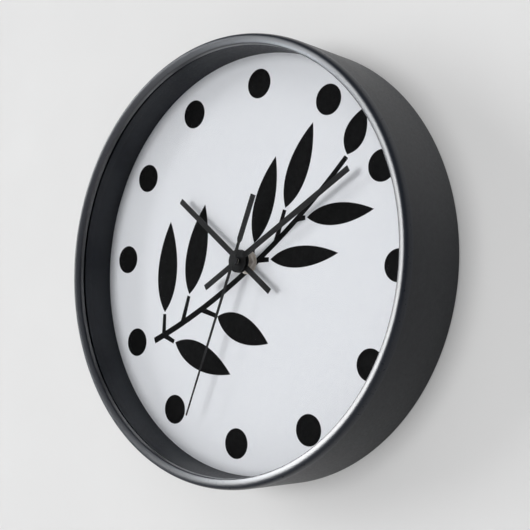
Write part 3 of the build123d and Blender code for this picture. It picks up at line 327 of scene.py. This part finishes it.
# ---- Materials, one for each slot of the record ----
materials = {
    "case_black": surface(
        "case_black", (0.011, 0.012, 0.0145), (0.015, 0.0165, 0.0195),
        rough=0.42, grain=2600, relief=0.00003,
        IOR=1.32, Coat_Roughness=0.34, Coat_IOR=1.95,
    ),
    "clear_crystal": clear_material(),
    "spacer_black": surface(
        "spacer_black", (0.007, 0.0095, 0.015), (0.010, 0.013, 0.02),
        rough=0.5, grain=2400, relief=0.00003,
        Specular_IOR_Level=0.35,
    ),
    "backing_board": surface(
        "backing_board", (0.19, 0.125, 0.075), (0.26, 0.18, 0.115),
        rough=0.75, grain=7000, relief=0.00006,
    ),
    "dial_paper": surface(
        "dial_paper", (0.835, 0.855, 0.895), (0.86, 0.88, 0.915),
        rough=0.7, grain=3000, relief=0.000015,
        Specular_IOR_Level=0.3,
    ),
    "dial_ink": surface(
        "dial_ink", (0.004, 0.004, 0.0042), (0.007, 0.007, 0.0073),
        rough=0.7, grain=3000, relief=0.000012,
        Specular_IOR_Level=0.12,
    ),
    "zinc_steel": surface(
        "zinc_steel", (0.5, 0.51, 0.52), (0.68, 0.69, 0.70),
        rough=0.32, grain=900, relief=0.00002, metallic=1.0, stretch=(1, 1, 0.1),
    ),
    "gasket_rubber": surface(
        "gasket_rubber", (0.012, 0.012, 0.012), (0.02, 0.02, 0.02),
        rough=0.8, grain=1800, relief=0.00005,
    ),
    "pale_brass": surface(
        "pale_brass", (0.86, 0.79, 0.72), (0.93, 0.87, 0.80),
        rough=0.34, grain=1500, relief=0.00001, metallic=0.2,
    ),
    "movement_black": surface(
        "movement_black", (0.020, 0.020, 0.021), (0.030, 0.030, 0.032),
        rough=0.5, grain=1800, relief=0.00008,
    ),
    "plate_plastic": surface(
        "plate_plastic", (0.66, 0.64, 0.57), (0.74, 0.72, 0.65),
        rough=0.45, grain=1500, relief=0.00003,
    ),
    "bobbin_plastic": surface(
        "bobbin_plastic", (0.04, 0.09, 0.28), (0.06, 0.12, 0.34),
        rough=0.4, grain=1500, relief=0.00002,
    ),
    "copper_wire": surface(
        "copper_wire", (0.55, 0.2, 0.07), (0.75, 0.33, 0.13),
        rough=0.25, grain=1500, relief=0.00002, metallic=1.0,
    ),
    "motor_steel": surface(
        "motor_steel", (0.33, 0.33, 0.34), (0.46, 0.46, 0.47),
        rough=0.4, grain=1200, relief=0.00002, metallic=1.0,
    ),
    "magnet_grey": surface(
        "magnet_grey", (0.12, 0.12, 0.125), (0.2, 0.2, 0.21),
        rough=0.5, grain=1500, relief=0.00003, metallic=0.8,
    ),
    "gear_plastic": surface(
        "gear_plastic", (0.74, 0.72, 0.64), (0.82, 0.80, 0.73),
        rough=0.4, grain=1500, relief=0.00002,
    ),
    "knob_plastic": surface(
        "knob_plastic", (0.014, 0.014, 0.015), (0.024, 0.024, 0.026),
        rough=0.42, grain=1800, relief=0.00004,
    ),
    "board_green": surface(
        "board_green", (0.01, 0.09, 0.035), (0.02, 0.14, 0.06),
        rough=0.35, grain=900, relief=0.00003,
    ),
    "chip_resin": surface(
        "chip_resin", (0.008, 0.008, 0.008), (0.014, 0.014, 0.014),
        rough=0.18, grain=900, relief=0.00003,
    ),
    "contact_steel": surface(
        "contact_steel", (0.58, 0.57, 0.53), (0.72, 0.71, 0.66),
        rough=0.25, grain=1500, relief=0.00001, metallic=1.0,
    ),
    "cell_wrap": surface(
        "cell_wrap", (0.02, 0.02, 0.022), (0.035, 0.035, 0.038),
        rough=0.25, grain=900, relief=0.00001,
    ),
    "hand_black": surface(
        "hand_black", (0.011, 0.011, 0.0115), (0.015, 0.015, 0.0155),
        rough=0.5, grain=2200, relief=0.00002,
        Specular_IOR_Level=0.3,
    ),
}
two_finish_case(materials["case_black"])
striped_wrap(materials["cell_wrap"])
for part in frame["record"]["subparts"]:
    shown = frame["nodes"][part["node"]]
    for held in shown.material_slots:
        held.material = materials[part["material_slot"]]


# ---- Pieces made more finely than their CAD nodes, which they stand for ----
def curve_points(start, leave, arrive, end):
    """Points along a cubic curve, as (radius, height), after its start."""
    points = []
    for step in range(1, CURVE_STEPS + 1):
        t = step / CURVE_STEPS
        shares = ((1 - t) ** 3, 3 * t * (1 - t) ** 2, 3 * t * t * (1 - t), t**3)
        held = (start, leave, arrive, end)
        points.append(tuple(sum(k * p[axis] for k, p in zip(shares, held)) for axis in (0, 1)))
    return points


def lathe(name, profile, segments, place, node, body, material_slot):
    """Turns a closed (radius, height) profile; place(radius, height, angle) is a point."""
    mesh = bpy.data.meshes.new(name)
    shape = bmesh.new()
    rings = []
    for turn in range(segments):
        angle = 2 * pi * turn / segments
        rings.append([shape.verts.new(place(r, h, angle)) for r, h in profile])
    for turn in range(segments):
        here = rings[turn]
        there = rings[(turn + 1) % segments]
        for i in range(len(profile)):
            j = (i + 1) % len(profile)
            shape.faces.new((here[i], here[j], there[j], there[i]))
    bmesh.ops.remove_doubles(shape, verts=shape.verts, dist=WELD_DISTANCE)
    bmesh.ops.recalc_face_normals(shape, faces=shape.faces)
    shape.to_mesh(mesh)
    shape.free()
    mesh.shade_smooth()
    mesh.set_sharp_from_angle(angle=SHARP_ANGLE)
    mesh.materials.append(materials[material_slot])
    made = bpy.data.objects.new(name, mesh)
    bpy.context.scene.collection.objects.link(made)
    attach(made, body)
    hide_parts(node)


def about_hands(radius, height, angle):
    """A point round the hands' axis, at this height in front of the wall."""
    return (AXIS_X + radius * cos(angle), REAR_Y - height, AXIS_Z + radius * sin(angle))


case_depth = REAR_Y - FRONT_Y
crease = (CASE_RADIUS, REAR_Y - CREASE_Y)
crystal_front = REAR_Y - CRYSTAL_Y
crown = (CASE_RADIUS - SHOULDER_WIDTH, case_depth)
bevel_end = (crown[0] - BEVEL_WIDTH, case_depth - BEVEL_DROP)
lip_top = (LIP_RADIUS, bevel_end[1] - LIP_ROUND)
case_profile = [
    (CASE_RADIUS - CASE_WALL, crystal_front),
    (CASE_RADIUS - CASE_WALL, 0),
    (CASE_RADIUS - REAR_CHAMFER, 0),
    (CASE_RADIUS, REAR_CHAMFER),
    crease,
    *curve_points(
        crease,
        (
            CASE_RADIUS - SHOULDER_INWARD * SHOULDER_WIDTH,
            crease[1] + SHOULDER_FORWARD * CREASE_RISE,
        ),
        (CASE_RADIUS - CROWN_OUTWARD * SHOULDER_WIDTH, case_depth),
        crown,
    ),
    *curve_points(
        crown,
        (crown[0] - CROWN_INWARD * BEVEL_WIDTH, case_depth),
        (
            bevel_end[0] + BEVEL_HOLD * BEVEL_WIDTH,
            bevel_end[1] + BEVEL_HOLD * BEVEL_WIDTH * BEVEL_SLOPE,
        ),
        bevel_end,
    ),
    *curve_points(
        bevel_end,
        (
            bevel_end[0] - LIP_HOLD * LIP_ROUND,
            bevel_end[1] - LIP_HOLD * LIP_ROUND * BEVEL_SLOPE,
        ),
        (LIP_RADIUS, bevel_end[1] - LIP_TURN * LIP_ROUND),
        lip_top,
    ),
    (LIP_RADIUS, crystal_front),
]
lathe("case_turned", case_profile, CASE_SEGMENTS, about_hands, "case_ring", "housing", "case_black")


def along_x(node):
    """How a lathe that lies along X places its points, from the middle of this node's box."""
    low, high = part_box(node)
    middle = (low + high) / 2

    def place(radius, height, angle):
        return (low.x + height, middle.y + radius * cos(angle), middle.z + radius * sin(angle))

    return place


coil_low, coil_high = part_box("coil_winding")
coil_radius = (coil_high.z - coil_low.z) / 2
coil_length = coil_high.x - coil_low.x
turn_count = round(coil_length / WIRE_PITCH)
coil_profile = [(COIL_TUBE_RADIUS, coil_length), (COIL_TUBE_RADIUS, 0.0)]
for turn in range(turn_count):
    for step in range(WIRE_STEPS):
        bulge = WIRE_PITCH / 2 * sin(pi * step / WIRE_STEPS)
        wire_place = (turn + step / WIRE_STEPS) * WIRE_PITCH
        coil_profile.append((coil_radius - WIRE_PITCH / 2 + bulge, wire_place))
coil_profile.append((coil_radius - WIRE_PITCH / 2, coil_length))
lathe(
    "coil_turns", coil_profile, COIL_SEGMENTS, along_x("coil_winding"), "coil_winding",
    "housing", "copper_wire",
)

cell_low, cell_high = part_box("aa_cell")
cell_radius = (cell_high.z - cell_low.z) / 2
cell_length = cell_high.x - cell_low.x
wrap_end = cell_length - CELL_NUB
wrap_profile = [
    (CELL_RIM_RADIUS, CELL_SHOULDER / 2),
    (CELL_RIM_RADIUS, 0.0),
    (cell_radius - CELL_SHOULDER, 0.0),
    (cell_radius - CELL_SHOULDER / 3, CELL_SHOULDER / 3),
    (cell_radius, CELL_SHOULDER),
    (cell_radius, wrap_end - CELL_SHOULDER),
    (cell_radius - CELL_SHOULDER / 3, wrap_end - CELL_SHOULDER / 3),
    (cell_radius - CELL_SHOULDER, wrap_end),
    (CELL_RIM_RADIUS, wrap_end),
    (CELL_RIM_RADIUS, wrap_end - CELL_SHOULDER / 2),
]
can_profile = [
    (0.0, CELL_SHOULDER / 2),
    (CELL_RIM_RADIUS, CELL_SHOULDER / 2),
    (CELL_RIM_RADIUS, wrap_end - CELL_SHOULDER / 2),
    (CELL_NUB_RADIUS + CELL_SHOULDER, wrap_end - CELL_SHOULDER / 2),
    (CELL_NUB_RADIUS, wrap_end),
    (CELL_NUB_RADIUS, cell_length - CELL_SHOULDER / 2),
    (CELL_NUB_RADIUS - CELL_SHOULDER / 2, cell_length),
    (0.0, cell_length),
]
in_bay = along_x("aa_cell")
lathe("cell_sleeve", wrap_profile, CELL_SEGMENTS, in_bay, "aa_cell", "aa_cell", "cell_wrap")
lathe("cell_can", can_profile, CELL_SEGMENTS, in_bay, "aa_cell", "aa_cell", "contact_steel")


# ---- Stage: a pale wall that the clock hangs on, and a pale floor below ----
def stage_sheet(name, corners, material):
    """A flat four-cornered sheet that isn't part of the object."""
    mesh = bpy.data.meshes.new(name)
    mesh.from_pydata(corners, [], [(0, 1, 2, 3)])
    mesh.materials.append(material)
    made = bpy.data.objects.new(name, mesh)
    bpy.context.scene.collection.objects.link(made)
    return made


def wall_material():
    """Pale matte paint, clear from behind so that the clock's back can be looked at."""
    made = surface(
        "wall_paint", (0.475, 0.475, 0.475), (0.485, 0.485, 0.485),
        rough=0.9, grain=60, relief=0.00002,
    )
    nodes = made.node_tree.nodes
    links = made.node_tree.links
    shader = nodes["Principled BSDF"]
    shader.inputs["Emission Color"].default_value = (*WHITE, 1.0)
    shader.inputs["Emission Strength"].default_value = WALL_GLOW
    mix = add_node(made, "ShaderNodeMixShader")
    side = add_node(made, "ShaderNodeNewGeometry")
    through = add_node(made, "ShaderNodeBsdfTransparent")
    links.new(side.outputs["Backfacing"], mix.inputs[0])
    links.new(shader.outputs[0], mix.inputs[1])
    links.new(through.outputs[0], mix.inputs[2])
    links.new(mix.outputs[0], nodes["Material Output"].inputs["Surface"])
    return made


wall_y = REAR_Y + WALL_GAP
floor_z = case_low.z - FLOOR_DROP
wall = stage_sheet(
    "wall",
    [
        (-STAGE_SPAN, wall_y, floor_z),
        (STAGE_SPAN, wall_y, floor_z),
        (STAGE_SPAN, wall_y, STAGE_SPAN),
        (-STAGE_SPAN, wall_y, STAGE_SPAN),
    ],
    wall_material(),
)
wall.visible_shadow = False
stage_sheet(
    "floor",
    [
        (-STAGE_SPAN, -STAGE_SPAN, floor_z),
        (STAGE_SPAN, -STAGE_SPAN, floor_z),
        (STAGE_SPAN, STAGE_SPAN, floor_z),
        (-STAGE_SPAN, STAGE_SPAN, floor_z),
    ],
    surface(
        "floor_paint", (0.39, 0.39, 0.39), (0.41, 0.41, 0.41), rough=0.9, grain=40, relief=0.00002
    ),
)


# ---- Light ----
def soft_sun(
    name, azimuth, elevation, spread_angle, strength, color=WHITE, diffuse=True, glossy=True
):
    """A broad distant lamp, in the direction of azimuth and elevation; all angles are in degrees.

    diffuse and glossy say which kinds of reflection it shows in.
    """
    data = bpy.data.lights.new(name, "SUN")
    data.energy = strength
    data.angle = radians(spread_angle)
    data.color = color
    away = direction(azimuth, elevation)
    made = bpy.data.objects.new(name, data)
    made.rotation_euler = away.to_track_quat("Z", "Y").to_euler()
    made.visible_diffuse = diffuse
    made.visible_glossy = glossy
    bpy.context.scene.collection.objects.link(made)


soft_sun("key", -65, 8, 36, 2.6, glossy=False)
soft_sun("key_gloss", -63, 10, 24, 1.3, diffuse=False)
soft_sun("front", -8, 0, 26, 1.55, glossy=False)
soft_sun("front_top", 0, 45, 50, 0.75, glossy=False)
soft_sun("bead_low", -56, -15, 16, 1.05, COOL_WHITE, diffuse=False)
soft_sun("bead_high", -56, 18, 16, 0.35, COOL_WHITE, diffuse=False)
soft_sun("rear_left", -140, 25, 40, 1.4)
soft_sun("rear_right", 140, 50, 50, 0.9)
soft_sun("rear", 180, 15, 30, 2.5, glossy=False)

world = bpy.data.worlds.new("studio")
world.use_nodes = True
background = world.node_tree.nodes["Background"]
background.inputs["Color"].default_value = WORLD_COLOR
background.inputs["Strength"].default_value = WORLD_STRENGTH
bpy.context.scene.world = world
bpy.context.scene.view_settings.view_transform = "Standard"


# ---- Camera ----
def place_camera():
    """Looks at the dial's front from the right and a little below."""
    away = direction(CAMERA_AZIMUTH, CAMERA_ELEVATION)
    target = Vector((AXIS_X + TARGET_RIGHT, FRONT_Y, AXIS_Z - TARGET_DOWN))
    level_right = (-away).cross(Vector((0, 0, 1))).normalized()
    level_up = level_right.cross(-away)
    roll = radians(CAMERA_ROLL)
    right = cos(roll) * level_right + sin(roll) * level_up
    up = cos(roll) * level_up - sin(roll) * level_right
    data = bpy.data.cameras.new("camera")
    data.lens = CAMERA_LENS
    data.sensor_width = CAMERA_SENSOR
    data.clip_start = CAMERA_CLIP_START
    made = bpy.data.objects.new("camera", data)
    turned = Matrix((right, up, away)).transposed().to_4x4()
    made.matrix_world = Matrix.Translation(target + away * CAMERA_DISTANCE) @ turned
    bpy.context.scene.collection.objects.link(made)
    bpy.context.scene.camera = made


place_camera()
